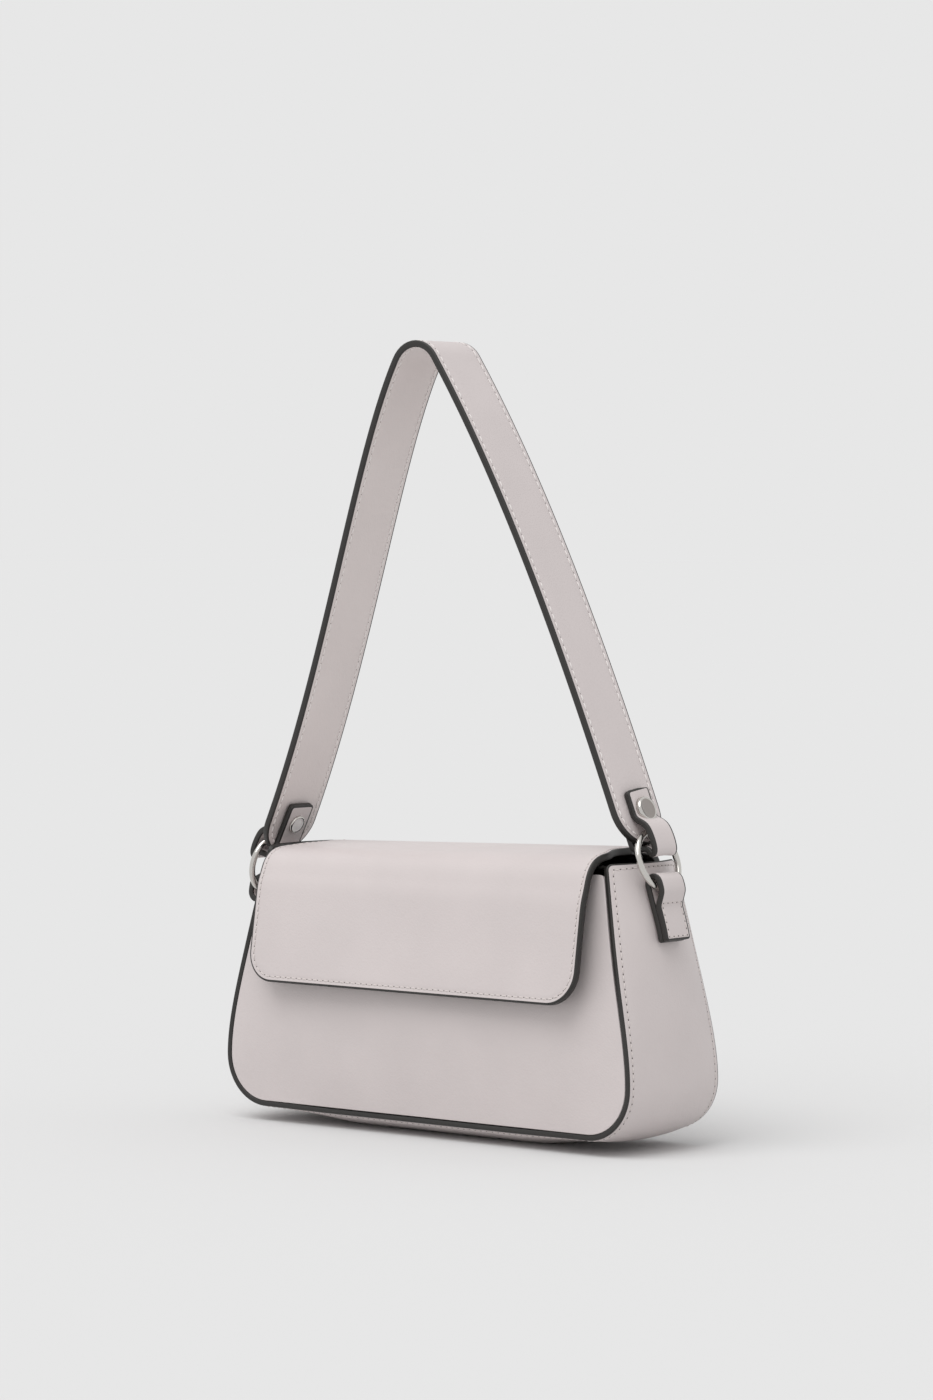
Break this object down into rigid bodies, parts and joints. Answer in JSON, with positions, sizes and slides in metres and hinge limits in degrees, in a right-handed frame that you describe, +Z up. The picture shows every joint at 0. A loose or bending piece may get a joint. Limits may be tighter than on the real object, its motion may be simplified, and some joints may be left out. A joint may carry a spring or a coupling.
{
  "type": "flap shoulder bag",
  "caption": "Small structured flap bag with curved gusset sides, a rounded hanging front flap and a one-piece shoulder strap held by rings on both ends.",
  "frame": {"origin": "on the ground, under the middle of the base", "axes": "+Z up, through the strap's arch; -Y out of the front, under the flap; +X to the right as seen from the front"},
  "size_m": [0.2623, 0.0828, 0.3792],
  "materials": {
    "leather": "fine-grained, pale lilac grey",
    "dark_leather": "smooth charcoal",
    "lining": "matt black",
    "board": "stiff fibre board",
    "nickel": "polished nickel",
    "magnet": "dark, plated"
  },
  "bodies": {
    "bag": {"gusset": "leather", "front_panel": "leather", "back_panel": "leather", "lining_front": "lining", "lining_back": "lining", "lining_gusset": "lining", "base_board": "board", "flap_root": "leather", "flap_root_lining": "dark_leather", "snap_socket": "nickel", "snap_magnet": "magnet", "snap_socket_washer": "nickel", "chape_left": "leather", "chape_right": "leather"},
    "flap_crown": {"flap_top": "leather", "flap_top_lining": "dark_leather"},
    "flap_front": {"flap_fall": "leather", "flap_fall_lining": "dark_leather", "snap_stud": "nickel", "snap_stud_washer": "nickel"},
    "left_ring": {"ring_left": "nickel"},
    "right_ring": {"ring_right": "nickel"},
    "strap": {"strap_outer": "leather", "strap_inner": "leather", "tab_left": "leather", "tab_right": "leather", "rivet_cap_left": "nickel", "rivet_base_left": "nickel", "rivet_cap_right": "nickel", "rivet_base_right": "nickel"}
  },
  "joints": [
    {"name": "flap_lift", "type": "hinge", "parent": "bag", "child": "flap_crown", "pos_m": [0, 0.012, 0.14375], "axis": [-1, 0, 0], "range_deg": [0, 22]},
    {"name": "flap_open", "type": "hinge", "parent": "flap_crown", "child": "flap_front", "pos_m": [0, -0.02795, 0.13632], "axis": [-1, 0, 0], "range_deg": [0, 120]},
    {"name": "strap_swing", "type": "hinge", "parent": "bag", "child": "strap", "pos_m": [0.1155, 0, 0.1355], "axis": [0.9986, 0, 0.052], "range_deg": [-24, 6]},
    {"name": "ring_left_turn", "type": "hinge", "parent": "bag", "child": "left_ring", "pos_m": [-0.1264, 0, 0.1229], "axis": [0.9781, 0, -0.2079], "continuous": true},
    {"name": "ring_right_turn", "type": "hinge", "parent": "bag", "child": "right_ring", "pos_m": [0.1155, 0, 0.1355], "axis": [0.9397, 0, 0.342], "continuous": true}
  ]
}
